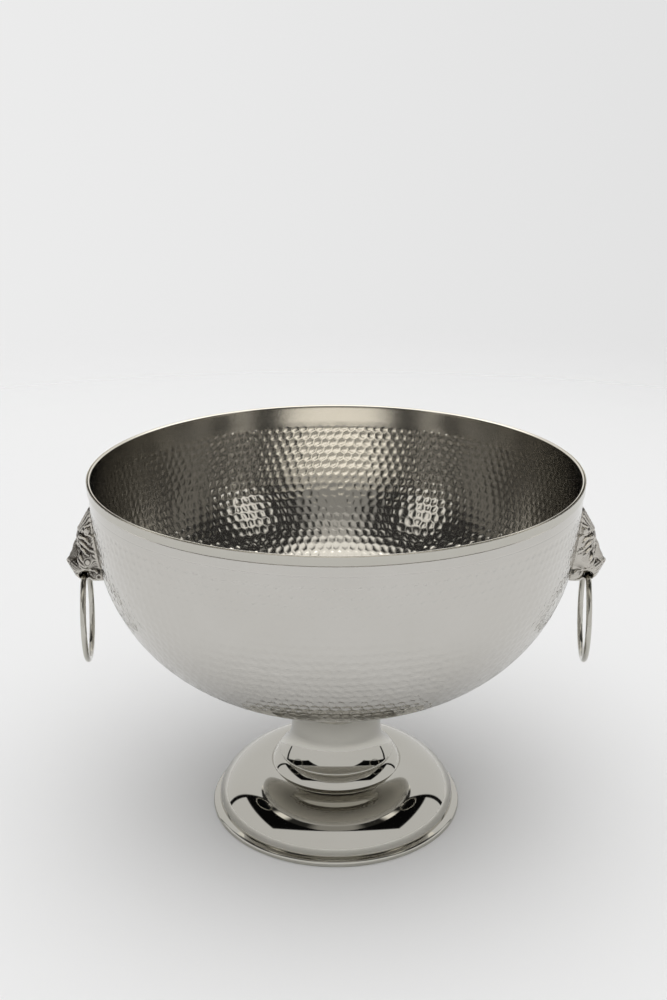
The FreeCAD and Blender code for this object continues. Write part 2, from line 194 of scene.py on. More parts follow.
class BowlCurve:
    """The bowl's outer outline, followed by its length from the axis along the base and up."""

    def __init__(self):
        between = SIDE_ARC - BELLY_ARC
        drop = RIM_HEIGHT - BASE_HEIGHT - BELLY_ARC
        self.side_centre = RIM_RADIUS - SIDE_ARC
        self.belly_centre = self.side_centre + math.sqrt(between ** 2 - drop ** 2)
        self.dip = math.asin(drop / between)
        self.belly_end = self.belly_centre + BELLY_ARC * (math.pi / 2 - self.dip)
        self.length = self.belly_end + SIDE_ARC * self.dip

    def at(self, distance):
        """(radius, height) and the outward normal at a length along the outline."""
        if distance <= self.belly_centre:
            return (distance, BASE_HEIGHT), (0.0, -1.0)
        if distance <= self.belly_end:
            angle = (distance - self.belly_centre) / BELLY_ARC - math.pi / 2
            normal = (math.cos(angle), math.sin(angle))
            centre = (self.belly_centre, BASE_HEIGHT + BELLY_ARC)
            reach = BELLY_ARC
        else:
            angle = (distance - self.length) / SIDE_ARC
            normal = (math.cos(angle), math.sin(angle))
            centre = (self.side_centre, RIM_HEIGHT)
            reach = SIDE_ARC
        place = (centre[0] + reach * normal[0], centre[1] + reach * normal[1])
        return place, normal

    def point(self, distance, turn, depth):
        """A point in space, at a depth under the outer surface."""
        (radius, height), normal = self.at(distance)
        radius -= normal[0] * depth
        return radius * math.cos(turn), radius * math.sin(turn), height - normal[1] * depth


def hammer_rows(curve):
    """Rows of blows as flat polar points, from the plain band's edge (no blows) to the middle."""
    distance = curve.length - PLAIN_BAND
    rows = []
    step = ROW_PITCH_TOP / 2
    while distance - step > ROW_PITCH_LOW * 0.6:
        edge_row = not rows
        if not edge_row:
            distance -= step
        radius = curve.at(distance)[0][0]
        if edge_row:
            radius = curve.at(distance - step)[0][0]
        count = max(6, round(2 * math.pi * radius / BLOW_PITCH))
        stagger = len(rows) % 2 / 2
        row = []
        for number in range(count):
            shift = 0 if edge_row else CHANCE.uniform(-0.13, 0.13)
            slip = 0 if edge_row else CHANCE.uniform(-0.8, 0.8)
            turn = (number + stagger + shift) * 2 * math.pi / count
            row.append((distance + slip, turn))
        rows.append(row)
        depth = (curve.length - distance) / curve.length
        if len(rows) > 1:
            step = ROW_PITCH_TOP + (ROW_PITCH_LOW - ROW_PITCH_TOP) * min(1, 2 * depth)
    rows.append([(0.0, 0.0)])
    return rows


def stitch(outer, inner):
    """Triangles between two rings of (point number, turn), taken in order round the axis."""
    full = 2 * math.pi
    if len(inner) == 1:
        return [(outer[n][0], outer[(n + 1) % len(outer)][0], inner[0][0]) for n in range(len(outer))]

    def lead(place):
        return (place[1] - outer[0][1] + math.pi) % full - math.pi

    start = min(range(len(inner)), key=lambda n: abs(lead(inner[n])))
    inner = inner[start:] + inner[:start]
    outer_turns = [(place[1] - outer[0][1]) % full for place in outer] + [full]
    first = lead(inner[0])
    inner_turns = [first + (place[1] - inner[0][1]) % full for place in inner] + [first + full]
    triangles = []
    across = 0
    along = 0
    while across < len(outer) or along < len(inner):
        here = (outer[across % len(outer)][0], inner[along % len(inner)][0])
        next_inner = inner_turns[min(along + 1, len(inner))]
        outer_is_next = across < len(outer) and outer_turns[across + 1] <= next_inner
        if outer_is_next or along >= len(inner):
            across += 1
            triangles.append((here[0], outer[across % len(outer)][0], here[1]))
        else:
            along += 1
            triangles.append((here[0], inner[along % len(inner)][0], here[1]))
    return triangles


class HammerPattern:
    """Cells round the blows: each has a centre and an outline of shared corner points."""

    def __init__(self, curve):
        self.curve = curve
        rows = hammer_rows(curve)
        polar = [place for row in rows for place in row]
        self.flat = [np.array([d * math.cos(t), d * math.sin(t)]) for d, t in polar]
        blow_count = len(polar)
        numbered = []
        number = 0
        for row in rows:
            numbered.append([(number + n, turn) for n, (_, turn) in enumerate(row)])
            number += len(row)
        edge_count = len(rows[0])
        strips = [stitch(outer, inner) for outer, inner in zip(numbered, numbered[1:])]
        self.corners = {}
        around = {}
        for strip in strips:
            for triangle in strip:
                corner = self.add(sum(self.flat[n] for n in triangle) / 3)
                self.corners[triangle] = corner
                for blow in triangle:
                    around.setdefault(blow, []).append(triangle)
        self.edge_loop = [self.corners[triangle] for triangle in strips[0]]
        self.cells = {}
        for blow in range(edge_count, blow_count):
            self.cells[blow] = self.outline_of(blow, around[blow])

    def add(self, place):
        self.flat.append(place)
        return len(self.flat) - 1

    def outline_of(self, blow, triangles):
        """Corners round one blow, in order."""
        centre = self.flat[blow]

        def bearing(triangle):
            offset = self.flat[self.corners[triangle]] - centre
            return math.atan2(offset[1], offset[0])

        return [self.corners[triangle] for triangle in sorted(triangles, key=bearing)]

    def place(self, number):
        x, y = self.flat[number]
        return math.hypot(x, y), math.atan2(y, x)


def hammered_side(pattern, depth, height, ring, valley):
    """Points and triangles of one side of the wall. Each cell is height deeper in its middle than
    round it. A ring (how far out, how much of the height) shapes its flank, and valley is how much
    of the cells' curve is kept where they meet."""
    curve = pattern.curve
    points = []
    faces = []
    used = {}
    base = [np.array(curve.point(*pattern.place(n), depth)) for n in range(len(pattern.flat))]
    rises = {}
    ring_share, ring_rise = ring
    for blow, outline in pattern.cells.items():
        spans = [np.sum((base[n] - base[blow]) ** 2) for n in outline]
        reach = sum(spans) / len(spans)
        for span, number in zip(spans, outline):
            rises.setdefault(number, []).append(valley * (1 - span / reach))

    def point_at(number, rise):
        if number not in used:
            used[number] = len(points)
            points.append(curve.point(*pattern.place(number), depth + height * rise))
        return used[number]

    for blow, outline in pattern.cells.items():
        strength = CHANCE.uniform(0.8, 1.15)
        distance, turn = pattern.place(blow)
        top = len(points)
        points.append(curve.point(distance, turn, depth + height * strength))
        rings = []
        for number in outline:
            rise = sum(rises[number]) / len(rises[number])
            rings.append((point_at(number, rise), number, rise))
        count = len(rings)
        first = len(points)
        for _, number, rise in rings:
            flat = pattern.flat[blow] + (pattern.flat[number] - pattern.flat[blow]) * ring_share
            step = height * (rise + (strength - rise) * ring_rise)
            points.append(curve.point(math.hypot(*flat), math.atan2(flat[1], flat[0]), depth + step))
        for number in range(count):
            after = (number + 1) % count
            faces.append((top, first + number, first + after))
            faces.append((first + number, rings[number][0], rings[after][0]))
            faces.append((first + number, rings[after][0], first + after))
    edge = [used[number] for number in pattern.edge_loop]
    return points, faces, edge


def lip_steps(curve):
    """(distance, depth) along the plain band: up the inside, over the rounded lip, and down the
    outside past the seam under the rim band and the line scribed below it."""
    start = curve.length - PLAIN_BAND + 1.5
    top = curve.length - LIP_INNER_ROUND
    steps = [(start + (top - start) * share, WALL) for share in (0, 0.15, 0.5, 0.9)]
    for side, lip_round, centre in ((0, LIP_INNER_ROUND, WALL - LIP_INNER_ROUND),
                                    (1, LIP_OUTER_ROUND, LIP_OUTER_ROUND)):
        for number in range(6):
            angle = (number / 5 + side) * math.pi / 2
            up = curve.length - lip_round + lip_round * math.sin(angle)
            steps.append((up, centre + lip_round * math.cos(angle)))
    for below, groove in (SEAM, SCRIBED_LINE):
        for across, share in ((0.75, 0), (0.45, 0), (0.3, 0.7), (0, 1), (-0.3, 0.7), (-0.45, 0), (-0.75, 0)):
            steps.append((curve.length - below + across, groove * share))
    steps.append((start, 0.0))
    return steps


def make_bowl(material):
    """Both hammered sides of the wall, joined over the lip and the plain band."""
    curve = BowlCurve()
    pattern = HammerPattern(curve)
    inside = hammered_side(pattern, WALL, INSIDE_BULGE, (0.58, 0.45), 0.3)
    outside = hammered_side(pattern, 0.0, OUTSIDE_HOLLOW, (0.6, 0.5), 0.3)
    points = list(inside[0])
    faces = list(inside[1])
    shift = len(points)
    points += outside[0]
    faces += [tuple(n + shift for n in reversed(face)) for face in outside[1]]
    turns = [pattern.place(number)[1] for number in pattern.edge_loop]
    loops = [inside[2]]
    for distance, depth in lip_steps(curve):
        loops.append(list(range(len(points), len(points) + len(turns))))
        points += [curve.point(distance, turn, depth) for turn in turns]
    loops.append([number + shift for number in outside[2]])
    for lower, upper in zip(loops, loops[1:]):
        for number in range(len(turns)):
            after = (number + 1) % len(turns)
            faces.append((lower[number], lower[after], upper[after], upper[number]))
    return to_scene("hammered_bowl", points, faces, "bowl", material, 80)


def make_rim_band(material):
    low, high = node_box("rim_band")
    inside = RIM_RADIUS + 0.05
    top = high[2] - 0.2
    outline = [(inside, low[2]), (high[0], low[2]), (high[0], top), (inside + 0.7, top), (inside, top - 1.3)]
    return lathe("rolled_rim_band", outline, "rim_band", material, 512, 0.2)


# ---------------------------------------------------------------- stem and foot

def flare(step, rise, offset):
    """The arc that leaves the neck upright and spreads by a step over a rise: its radius once the
    surface is moved inward by offset, and how far that surface has then spread."""
    radius = (step ** 2 + rise ** 2) / (step * 2)
    return radius + offset, radius - math.sqrt((radius + offset) ** 2 - rise ** 2)


def stem_side(offset):
    """Corners of the stem's surface from the bottom up, moved inward by offset."""
    low, high = node_box("stem")
    edge = node_box("skirt_ring")[1][0] - SKIRT_FLARE
    foot_arc, foot_spread = flare(edge - NECK_RADIUS, NECK_BOTTOM - low[2], offset)
    top_arc, top_spread = flare(high[0] - NECK_RADIUS, high[2] - NECK_TOP, offset)
    return [
        (NECK_RADIUS + foot_spread, low[2], (foot_arc, -1)),
        (NECK_RADIUS - offset, NECK_BOTTOM),
        (NECK_RADIUS - offset, NECK_TOP, (top_arc, -1)),
        (NECK_RADIUS + top_spread, high[2]),
    ]


def make_stem(material):
    outside = trace(stem_side(0.0) + [(0.0, 0.0)])[:-1]
    inside = trace(stem_side(STEM_WALL) + [(0.0, 0.0)])[:-1]
    return lathe("stem_body", outside + inside[::-1], "stem", material, 256, 0.25)


def make_skirt_ring(material):
    """The small flared tier with a bead on its upper edge, its web, and the spigot inside the stem."""
    low, high = node_box("skirt_ring")
    top = node_box("stem")[0][2]
    edge = high[0] - SKIRT_FLARE
    web_bottom = top - STEM_WALL
    outline = trace([
        (ROD_HOLE, web_bottom),
        (edge - STEM_WALL, web_bottom),
        (high[0] - STEM_WALL, low[2]),
        (high[0], low[2], (SKIRT_ARC, 1)),
        (edge, top - BEAD * 2 - 0.3),
        (edge - 0.7, top - BEAD * 2 - 0.1),
        (edge - 0.3, top - BEAD * 2 + 0.1, (BEAD * 1.01, 1)),
        (edge - 0.3, top - 0.1),
        (edge - 0.9, top),
        (SPIGOT_RADIUS, top),
        (SPIGOT_RADIUS, high[2]),
        (SPIGOT_RADIUS - STEM_WALL, high[2]),
        (SPIGOT_RADIUS - STEM_WALL, top),
        (ROD_HOLE, top),
    ])
    return lathe("beaded_skirt", outline, "skirt_ring", material, 256, 0.12)


def dome_side(offset):
    """Corners of the dome's surface from the edge up to the flat top, moved inward by offset."""
    low, high = node_box("foot_dome")
    edge_centre = high[0] - DOME_EDGE_ARC
    between = DOME_ARC - DOME_EDGE_ARC
    drop = low[2] - high[2] + DOME_ARC
    spread = math.sqrt(between ** 2 - drop ** 2)
    top_centre = edge_centre - spread
    top = DOME_ARC - offset
    meeting = (top_centre + top * spread / between, high[2] - DOME_ARC + top * drop / between)
    return [
        (high[0] - offset, low[2], (DOME_EDGE_ARC - offset, 1)),
        (meeting[0], meeting[1], (top, 1)),
        (top_centre, high[2] - offset),
    ]


def make_foot_dome(material):
    high = node_box("foot_dome")[1]
    outside = trace(dome_side(0.0) + [(ROD_HOLE, high[2])])
    inside = trace(dome_side(DOME_WALL) + [(ROD_HOLE, high[2] - DOME_WALL)])
    return lathe("domed_foot", outside + inside[::-1], "foot_dome", material, 320, 0.12)


def make_foot_ring(material):
    low, high = node_box("foot_ring")
    dome = node_box("foot_dome")[1][0]
    inside = dome - FOOT_RING_OVERLAP
    outline = trace([
        (inside, low[2]),
        (high[0] - 1.0, low[2]),
        (high[0], 1.0),
        (high[0], 2.7, (FOOT_EDGE_ARC, 1)),
        FOOT_STEP,
        (dome, high[2]),
        (inside, high[2]),
    ])
    return lathe("foot_flange", outline, "foot_ring", material, 320, 0.3)


# ---------------------------------------------------------------- ring handles

def joint_of(side):
    for joint in frame["joints"]:
        if joint["name"] == side + "_ring_swing":
            return joint
    raise ValueError("no joint for the ring on the " + side)


def mask_turn(side):
    """Where the mask sits round the bowl: the angle of its ring's pivot."""
    x, y, _ = joint_of(side)["pos_m"]
    return math.atan2(y, x)


def pivot(side):
    """The pivot's distance from the bowl's axis, and its height."""
    x, y, z = joint_of(side)["pos_m"]
    return math.hypot(x, y) / MM, z / MM


def ring_radius(side):
    low, high = node_box("ring_handle_" + side)
    return (high[2] - low[2]) / 2 - WIRE


def turned(points, angle):
    """Points turned about the bowl's axis."""
    x, y, z = np.asarray(points).T
    return np.stack([x * math.cos(angle) - y * math.sin(angle),
                     x * math.sin(angle) + y * math.cos(angle), z], axis=1)


def make_ring(side, material):
    """Round wire bent to a ring, hanging from its mask's mouth."""
    reach, height = pivot(side)
    radius = ring_radius(side)
    around = 192
    through = 28
    points = []
    faces = []
    for turn in range(around):
        angle = 2 * math.pi * turn / around
        for step in range(through):
            tilt = 2 * math.pi * step / through
            out = radius + WIRE * math.cos(tilt)
            points.append((reach + WIRE * math.sin(tilt), out * math.sin(angle),
                           height - radius + out * math.cos(angle)))
            here = turn * through
            there = (turn + 1) % around * through
            after = (step + 1) % through
            faces.append((here + step, here + after, there + after, there + step))
    node = "ring_handle_" + side
    points = turned(points, mask_turn(side))
    return to_scene("pull_ring_" + side, points, faces, node, material)


# ---------------------------------------------------------------- lion masks

class Clay:
    """A signed distance field on a grid, built up and carved with smooth joins."""

    def __init__(self, low, high, step):
        self.step = step
        self.low = np.array(low, float)
        counts = np.ceil((np.array(high) - low) / step).astype(int) + 1
        axes = [low[n] + step * np.arange(counts[n]) for n in range(3)]
        self.x, self.y, self.z = [part.astype(np.float32) for part in np.meshgrid(*axes, indexing="ij")]
        self.y = np.abs(self.y)
        self.field = np.full(self.x.shape, 50.0, np.float32)

    def around(self, low, high):
        """The part of the grid inside a box, in mirrored space."""
        keep = (self.x >= low[0]) & (self.x <= high[0]) & (self.y >= low[1]) & (self.y <= high[1])
        return keep & (self.z >= low[2]) & (self.z <= high[2])

    def ball(self, centre, radii):
        """Distance to an ellipsoid."""
        parts = [axis - value for axis, value in zip((self.x, self.y, self.z), centre)]
        near = np.sqrt(sum((part / size) ** 2 for part, size in zip(parts, radii)))
        steep = np.sqrt(sum((part / size ** 2) ** 2 for part, size in zip(parts, radii)))
        return near * (near - 1) / np.maximum(steep, 1e-6)

    def rod(self, start, end, start_radius, end_radius, keep):
        """Distance to a tapered rod with round ends."""
        start = np.array(start, float)
        along = np.array(end, float) - start
        parts = [axis[keep] - value for axis, value in zip((self.x, self.y, self.z), start)]
        share = sum(part * step for part, step in zip(parts, along)) / max(along @ along, 1e-9)
        share = np.clip(share, 0, 1)
        gaps = [part - share * step for part, step in zip(parts, along)]
        return np.sqrt(sum(gap ** 2 for gap in gaps)) - (start_radius + (end_radius - start_radius) * share)

    def join(self, shape, blend, keep=None):
        """Add a shape, with a smooth fillet of about the blend's size."""
        pick = slice(None) if keep is None else keep
        own = self.field[pick]
        share = np.clip(0.5 + 0.5 * (shape - own) / blend, 0, 1)
        self.field[pick] = shape * (1 - share) + own * share - blend * share * (1 - share)

    def carve(self, shape, blend, keep=None):
        """Take a shape away, with smoothed edges."""
        pick = slice(None) if keep is None else keep
        self.field[pick] *= -1
        self.join(shape, blend, keep)
        self.field[pick] *= -1

    def add_ball(self, centre, radii, blend):
        self.join(self.ball(centre, radii), blend)

    def add_rod(self, start, end, start_radius, end_radius, blend):
        self.join(self.rod(start, end, start_radius, end_radius, slice(None)), blend)

    def front(self, across, up):
        """How far out the surface is, seen from the front, at a place on the face."""
        j = int(round((abs(across) - self.low[1]) / self.step))
        k = int(round((up - self.low[2]) / self.step))
        column = self.field[:, j, k]
        solid = np.nonzero(column < 0)[0]
        if not len(solid):
            return None
        last = solid[-1]
        slope = column[last + 1] - column[last]
        return self.low[0] + self.step * (last - column[last] / slope)

    def stroke(self, path, start_radius, end_radius, lift, blend, cut):
        """Draw a rod along a path of (across, up) places on the face, sunk or raised by lift."""
        places = []
        for across, up in path:
            out = self.front(across, up)
            if out is not None:
                places.append((out + lift, across, up))
        radii = np.linspace(start_radius, end_radius, max(len(places), 2))
        for number in range(len(places) - 1):
            first = np.array(places[number])
            second = np.array(places[number + 1])
            margin = max(radii[number], radii[number + 1]) + blend + self.step
            keep = self.around(np.minimum(first, second) - margin, np.maximum(first, second) + margin)
            rod = self.rod(first, second, radii[number], radii[number + 1], keep)
            if cut:
                self.carve(rod, blend, keep)
            else:
                self.join(rod, blend, keep)

    def groove(self, path, start_radius, end_radius, lift=0.0, blend=0.25):
        self.stroke(path, start_radius, end_radius, lift, blend, cut=True)

    def ridge(self, path, start_radius, end_radius, lift=0.0, blend=0.5):
        self.stroke(path, start_radius, end_radius, lift, blend, cut=False)


def bend_path(start, middle, end, count=7):
    """Places along a quadratic curve."""
    start, middle, end = (np.array(place, float) for place in (start, middle, end))
    shares = np.linspace(0, 1, count)
    return [tuple((1 - t) ** 2 * start + 2 * t * (1 - t) * middle + t ** 2 * end) for t in shares]


def shape_head(clay, foot):
    """The masses of the head, from the back of the mane to the nose, at heights above the foot."""
    lumps = [
        ((194.3, 0, foot + 31.8), (15.8, 19.2, 27.5), 1.0),
        ((193.0, 0, foot + 52.0), (9.6, 17.5, 13.0), 3.0),
        ((205.5, 0, foot + 38.5), (5.6, 11.0, 7.5), 3.0),
        ((206.0, 6.5, foot + 39.8), (4.6, 6.6, 3.4), 2.0),
        ((207.0, 0, foot + 27.5), (8.0, 5.0, 9.5), 3.0),
        ((208.5, 0, foot + 20.5), (9.6, 5.6, 7.4), 3.0),
        ((207.5, 0, foot + 12.0), (8.6, 6.4, 7.6), 2.5),
        ((206.5, 5.6, foot + 13.2), (8.6, 6.6, 7.0), 2.5),
        ((202.0, 11.5, foot + 21.5), (7.6, 7.2, 9.2), 2.0),
        ((203.0, 0, foot + 5.8), (7.8, 8.6, 5.4), 2.5),
        ((193.5, 9.0, foot + 8.5), (9.0, 10.0, 8.5), 3.0),
    ]
    for centre, radii, blend in lumps:
        clay.add_ball(centre, radii, blend)
    clay.add_rod((215.2, 0, foot + 16.6), (209.4, 0, foot + 7.0), 4.6, 5.6, 1.5)
    clay.add_rod((213.0, 3.4, foot + 15.6), (207.6, 5.0, foot + 7.6), 4.3, 5.4, 1.5)


def shape_nose(clay, foot):
    """Nose leather, nostrils and the line down to the lip."""
    clay.add_ball((216.2, 0, foot + 17.8), (4.4, 4.4, 2.6), 1.2)
    clay.carve(clay.ball((219.6, 2.6, foot + 17.2), (1.6, 1.1, 0.9)), 0.5)
    clay.groove([(0, foot + 15.8), (0, foot + 12.0), (0, foot + 9.0)], 0.55, 0.4)
    clay.groove(bend_path((0, foot + 8.6), (5, foot + 6.8), (10.5, foot + 9.5)), 0.6, 0.5)
    clay.groove(bend_path((4.9, foot + 21.0), (5.6, foot + 19.0), (5.0, foot + 16.2)), 0.45, 0.4)


def shape_eyes(clay, foot):
    """Sunken sockets, eyeballs, lids and the crease beside the nose."""
    clay.carve(clay.ball((212.0, 7.0, foot + 34.2), (3.4, 3.9, 2.4)), 1.0)
    clay.add_ball((208.2, 7.0, foot + 34.2), (2.3, 2.6, 1.9), 0.3)
    clay.ridge(bend_path((3.4, foot + 33.6), (7.2, foot + 38.2), (11.2, foot + 33.4)), 0.65, 0.5, 0.2)
    clay.ridge(bend_path((3.6, foot + 33.0), (7.4, foot + 30.2), (10.8, foot + 33.0)), 0.6, 0.45, 0.1)
    clay.groove(bend_path((3.2, foot + 36.5), (7.4, foot + 41.2), (12.4, foot + 36.0)), 0.5, 0.4)
    clay.groove(bend_path((3.6, foot + 32.0), (4.6, foot + 28.0), (5.6, foot + 24.0)), 0.45, 0.35)
    clay.groove(bend_path((6.0, foot + 29.0), (9.6, foot + 28.2), (12.0, foot + 31.5)), 0.4, 0.3)
    clay.groove(bend_path((1.2, foot + 38.0), (1.8, foot + 42.0), (1.4, foot + 46.0)), 0.45, 0.35)


def shape_muzzle_lines(clay, foot):
    """Slanting whisker lines over the muzzle and the crease that bounds the cheek."""
    for number in range(6):
        high = foot + 19.0 - number * 2.1
        clay.groove([(3.6 + number * 0.35, high + 0.6), (6.8 + number * 0.3, high - 1.6),
                     (10.4, high - 3.0)], 0.5, 0.38, blend=0.2)
    clay.groove(bend_path((7.6, foot + 28.6), (8.8, foot + 19.0), (14.8, foot + 12.6)), 0.75, 0.6)


def shape_mane(clay, foot):
    """Locks of hair: up from the forehead, outward over the ears and down behind the cheeks."""
    for number in range(5):
        side = number * 3.4 + 1.2
        lean = number * 1.5
        clay.ridge(bend_path((side * 0.7, foot + 45.0), (side + 0.4, foot + 54.0),
                             (side + lean * 0.5, foot + 63.0 - number * 1.3)), 1.5, 0.8, -0.3)
        clay.groove(bend_path((side * 0.7 + 1.5, foot + 44.5), (side + 2.2, foot + 53.0),
                              (side + lean * 0.5 + 1.7, foot + 62.5 - number * 1.5)), 0.6, 0.4)
    for number in range(7):
        high = foot + 47.0 - number * 5.0
        clay.ridge(bend_path((11.6, high), (15.0, high - 1.5), (18.8, high - 6.0)), 1.5, 0.9, -0.4)
        clay.groove(bend_path((11.8, high - 2.4), (15.2, high - 4.0), (19.0, high - 8.6)), 0.6, 0.45)
    for number in range(4):
        side = 1.8 + number * 2.6
        clay.groove(bend_path((side, foot + 5.6), (side + 0.3, foot + 3.4), (side * 0.9, foot + 1.2)),
                    0.4, 0.35)


def shape_ears(clay, foot):
    clay.add_ball((200.5, 13.2, foot + 47.5), (3.4, 3.8, 4.2), 0.8)
    clay.carve(clay.ball((204.2, 12.6, foot + 46.8), (2.4, 2.2, 2.6)), 0.6)


def bowl_distance(clay, curve, gap):
    """Distance outside the bowl's surface on the grid, less a gap."""
    radius = np.hypot(clay.x, clay.y)
    side = np.hypot(radius - curve.side_centre, clay.z - RIM_HEIGHT) - SIDE_ARC
    belly = np.hypot(radius - curve.belly_centre, clay.z - BASE_HEIGHT - BELLY_ARC) - BELLY_ARC
    meeting = BASE_HEIGHT + BELLY_ARC - BELLY_ARC * math.sin(curve.dip)
    return np.where(clay.z > meeting, side, belly) - gap


def mouth_distance(clay, side):
    """Distance to the tunnel that the swinging ring sweeps, as wide as the ring is at each place."""
    reach, height = pivot(side)
    radius = ring_radius(side)
    arc = radius - WIRE - SWING_GAP
    across = np.minimum(clay.y, arc * 0.95)
    room = radius - np.sqrt(arc ** 2 - across ** 2)
    return np.hypot(clay.x - reach, clay.z - height) - room


def soften(field, reach):
    """The field averaged over a small cube round each place."""
    for axis in range(3):
        total = np.cumsum(np.pad(field, [(reach + 1, reach) if n == axis else (0, 0) for n in range(3)],
                                 mode="edge"), axis=axis, dtype=np.float64)
        size = field.shape[axis]
        high = np.take(total, np.arange(2 * reach + 1, 2 * reach + 1 + size), axis=axis)
        low = np.take(total, np.arange(size), axis=axis)
        field = ((high - low) / (2 * reach + 1)).astype(np.float32)
    return field


def skin(clay):
    """Points and quads on the field's zero surface, one point in each grid cell it passes through."""
    field = clay.field
    shape = np.array(field.shape) - 1
    total = np.zeros((*shape, 3), np.float32)
    hits = np.zeros(shape, np.float32)
    faces = []
    crossings = []
    for axis in range(3):
        first = np.take(field, np.arange(shape[axis]), axis=axis)
        second = np.take(field, np.arange(1, shape[axis] + 1), axis=axis)
        crossing = (first < 0) != (second < 0)
        share = np.where(crossing, first / np.where(crossing, first - second, 1), 0)
        crossings.append((crossing, first < 0))
        others = [n for n in range(3) if n != axis]
        for shift_a in (0, 1):
            for shift_b in (0, 1):
                pick = [slice(None)] * 3
                pick[others[0]] = slice(shift_a, shape[others[0]] + shift_a)
                pick[others[1]] = slice(shift_b, shape[others[1]] + shift_b)
                hit = crossing[tuple(pick)]
                hits += hit
                total[..., axis] += share[tuple(pick)]
                total[..., others[0]] += hit * shift_a
                total[..., others[1]] += hit * shift_b
    active = hits > 0
    number = np.full(shape, -1)
    number[active] = np.arange(active.sum())
    cells = np.argwhere(active)
    points = clay.low + clay.step * (cells + total[active] / hits[active][:, None])
    for axis in range(3):
        crossing, starts_inside = crossings[axis]
        a, b = (axis + 1) % 3, (axis + 2) % 3
        inner = [slice(None)] * 3
        inner[a] = slice(1, shape[a])
        inner[b] = slice(1, shape[b])
        found = np.argwhere(crossing[tuple(inner)])
        found[:, a] += 1
        found[:, b] += 1
        quad = []
        for shift_a, shift_b in ((1, 1), (0, 1), (0, 0), (1, 0)):
            cell = found.copy()
            cell[:, a] -= shift_a
            cell[:, b] -= shift_b
            quad.append(number[tuple(cell.T)])
        quad = np.stack(quad, axis=1)
        flip = ~starts_inside[tuple(found.T)]
        quad[flip] = quad[flip][:, ::-1]
        faces.append(quad)
    return points, np.concatenate(faces), cells


def relax(points, faces, rounds):
    """Even out the grid's small steps by moving each point towards its neighbours."""
    edges = np.concatenate([faces[:, [0, 1]], faces[:, [1, 2]], faces[:, [2, 3]], faces[:, [3, 0]]])
    both = np.concatenate([edges, edges[:, ::-1]])
    counts = np.bincount(both[:, 0], minlength=len(points))[:, None]
    for _ in range(rounds):
        total = np.zeros_like(points)
        for axis in range(3):
            total[:, axis] = np.bincount(both[:, 0], weights=points[both[:, 1], axis], minlength=len(points))
        points = points + 0.5 * (total / counts - points)
    return points


def sculpt_mask():
    """A lion's head as points, quads and how deep in a recess each point lies."""
    low, high = node_box("lion_mask_right")
    foot = low[2]
    step = 0.5
    clay = Clay((186.0, -MASK_WIDTH / 2 - 2, foot - 3), (223.0, MASK_WIDTH / 2 + 2, high[2] + 3), step)
    shape_head(clay, foot)
    shape_ears(clay, foot)
    shape_eyes(clay, foot)
    shape_nose(clay, foot)
    shape_mane(clay, foot)
    shape_muzzle_lines(clay, foot)
    clay.carve(mouth_distance(clay, "right"), 0.6)
    clay.carve(bowl_distance(clay, BowlCurve(), 0.05), 0.3)
    clay.carve(clay.z - foot - CHIN_SLOPE * clay.y, 0.6)
    points, faces, cells = skin(clay)
    blurred = soften(clay.field, 3)
    recess = np.clip(-blurred[tuple(cells.T)] / 0.45, 0, 1)
    return relax(points, faces, 1), faces, recess


def make_masks(material):
    points, faces, recess = sculpt_mask()
    for side in ("right", "left"):
        node = "lion_mask_" + side
        places = turned(points, mask_turn(side))
        piece = to_scene("lion_head_" + side, places, faces.tolist(), node, material, 180)
        # How deep each point lies in a recess; the mask's material turns this into painted shade in the
        # hollows.
        tone = piece.data.attributes.new("recess", "FLOAT", "POINT")
        tone.data.foreach_set("value", recess.astype(np.float32))


# ---------------------------------------------------------------- materials

class Nodes:
    """Short calls for building a material's or a world's node tree."""

    def __init__(self, owner):
        owner.use_nodes = True
        self.tree = owner.node_tree
        self.all = self.tree.nodes

    def add(self, kind, **inputs):
        node = self.all.new(kind)
        for name, value in inputs.items():
            self.feed(node.inputs[name.replace("_", " ")], value)
        return node

    def feed(self, socket, value):
        if isinstance(value, bpy.types.NodeSocket):
            self.tree.links.new(value, socket)
        else:
            socket.default_value = value

    def math(self, operation, *values):
        node = self.all.new("ShaderNodeMath")
        node.operation = operation
        for socket, value in zip(node.inputs, values):
            self.feed(socket, value)
        return node.outputs[0]

    def step(self, value, start, end):
        """0 below start, 1 above end and a smooth rise between."""
        node = self.all.new("ShaderNodeMapRange")
        node.interpolation_type = "SMOOTHSTEP"
        self.feed(node.inputs["Value"], value)
        self.feed(node.inputs["From Min"], start)
        self.feed(node.inputs["From Max"], end)
        return node.outputs["Result"]

    def mix(self, share, first, second):
        node = self.all.new("ShaderNodeMix")
        node.data_type = "RGBA"
        self.feed(node.inputs[0], share)
        self.feed(node.inputs[6], first)
        self.feed(node.inputs[7], second)
        return node.outputs[2]

    def noise(self, scale, detail=2.0):
        place = self.add("ShaderNodeTexCoord").outputs["Object"]
        return self.add("ShaderNodeTexNoise", Vector=place, Scale=scale, Detail=detail).outputs["Fac"]


def metal(name, colour, dark, roughness, spread, scale, bump_depth):
    """Metal whose colour and gloss drift a little over the surface, with a fine relief."""
    material = bpy.data.materials.new(name)
    nodes = Nodes(material)
    shader = nodes.all["Principled BSDF"]
    shader.inputs["Metallic"].default_value = 1.0
    drift = nodes.noise(scale)
    nodes.feed(shader.inputs["Base Color"], nodes.mix(drift, (*dark, 1), (*colour, 1)))
    gloss = nodes.math("MULTIPLY_ADD", nodes.noise(scale * 9, 4.0), spread, roughness - spread / 2)
    nodes.feed(shader.inputs["Roughness"], gloss)
    bump = nodes.add("ShaderNodeBump", Height=nodes.noise(scale * 40, 3.0))
    bump.inputs["Strength"].default_value = 1.0
    bump.inputs["Distance"].default_value = bump_depth * MM
    nodes.feed(shader.inputs["Normal"], bump.outputs["Normal"])
    return material, nodes, shader


